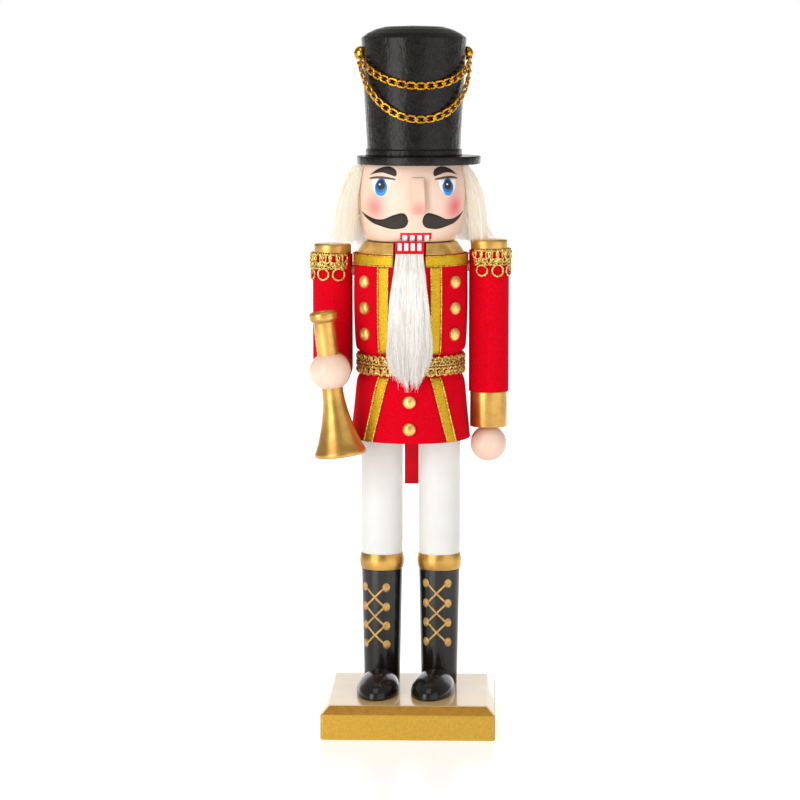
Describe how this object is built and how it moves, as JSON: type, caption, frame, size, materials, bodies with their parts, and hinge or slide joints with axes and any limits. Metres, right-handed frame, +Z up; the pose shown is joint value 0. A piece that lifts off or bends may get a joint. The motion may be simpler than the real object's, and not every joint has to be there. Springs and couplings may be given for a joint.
{
  "type": "nutcracker figure",
  "caption": "Upright turned-wood soldier on a square base with a lever-worked jaw, pegged arms, felt coat, horn and tall hat.",
  "frame": {"origin": "middle of the base's flat underside, on the surface it stands on", "axes": "+Z up along the figure, -Y the way it faces, +X to its left"},
  "size_m": [0.1102, 0.1077, 0.38],
  "materials": {
    "gold_paint": "metallic gold paint over turned wood, satin",
    "black_paint": "gloss black lacquer over turned wood",
    "white_paint": "satin white paint over turned wood",
    "skin_paint": "satin flesh paint over turned wood",
    "red_paint": "gloss red paint over cut wood",
    "bare_wood": "bare beech, hidden inside",
    "red_felt": "pressed red felt, matt",
    "gold_ribbon": "woven metallic ribbon with a sparkling edge",
    "gold_braid": "looped metallic gimp braid",
    "fur": "long-pile white fur",
    "gold_metal": "bright gold-plated metal",
    "steel_pin": "plain steel"
  },
  "bodies": {
    "figure": {"head_block": "skin_paint", "nose": "skin_paint", "hair_wig": "fur", "hat_brim": "black_paint", "hat_crown": "black_paint", "hat_dowel": "bare_wood", "left_chain_knob": "gold_metal", "right_chain_knob": "gold_metal", "chain_upper": "gold_metal", "chain_lower": "gold_metal", "left_shoe": "black_paint", "left_boot_shaft": "black_paint", "left_boot_cuff": "gold_paint", "left_trouser_leg": "white_paint", "left_leg_dowel": "bare_wood", "right_shoe": "black_paint", "right_boot_shaft": "black_paint", "right_boot_cuff": "gold_paint", "right_trouser_leg": "white_paint", "right_leg_dowel": "bare_wood", "torso_block": "bare_wood", "gold_collar": "gold_paint", "coat_body": "red_felt", "coat_skirt": "red_felt", "belt_braid": "gold_braid", "collar_ribbon": "gold_ribbon", "left_lapel_ribbon": "gold_ribbon", "left_skirt_ribbon": "gold_ribbon", "left_chest_button_1": "gold_metal", "left_chest_button_2": "gold_metal", "left_chest_button_3": "gold_metal", "right_lapel_ribbon": "gold_ribbon", "right_skirt_ribbon": "gold_ribbon", "right_chest_button_1": "gold_metal", "right_chest_button_2": "gold_metal", "right_chest_button_3": "gold_metal", "skirt_button_1": "gold_metal", "skirt_button_2": "gold_metal", "jaw_pin": "steel_pin", "neck_dowel": "bare_wood", "base_block": "gold_paint"},
    "jaw": {"jaw_lever": "red_paint", "beard": "fur"},
    "left_arm": {"left_shoulder_peg": "bare_wood", "left_shoulder_cap": "gold_paint", "left_epaulette": "gold_braid", "left_arm_core": "bare_wood", "left_sleeve": "red_felt", "left_cuff": "gold_paint", "left_hand": "skin_paint"},
    "right_arm": {"right_shoulder_peg": "bare_wood", "right_shoulder_cap": "gold_paint", "right_epaulette": "gold_braid", "right_upper_arm": "bare_wood", "right_forearm": "bare_wood", "right_sleeve": "red_felt", "right_cuff": "gold_paint", "right_hand": "skin_paint", "horn_pipe": "gold_paint", "horn_bell": "gold_paint"}
  },
  "joints": [
    {"name": "jaw_hinge", "type": "hinge", "parent": "figure", "child": "jaw", "pos_m": [0, 0.011, 0.234], "axis": [1, 0, 0], "range_deg": [0, 15], "deforming": ["beard"]},
    {"name": "left_shoulder", "type": "hinge", "parent": "figure", "child": "left_arm", "pos_m": [0.0427, 0.017, 0.25], "axis": [-1, 0, 0], "range_deg": [-30, 90]},
    {"name": "right_shoulder", "type": "hinge", "parent": "figure", "child": "right_arm", "pos_m": [-0.0427, 0.017, 0.2476], "axis": [-1, 0, 0], "range_deg": [0, 75]}
  ]
}
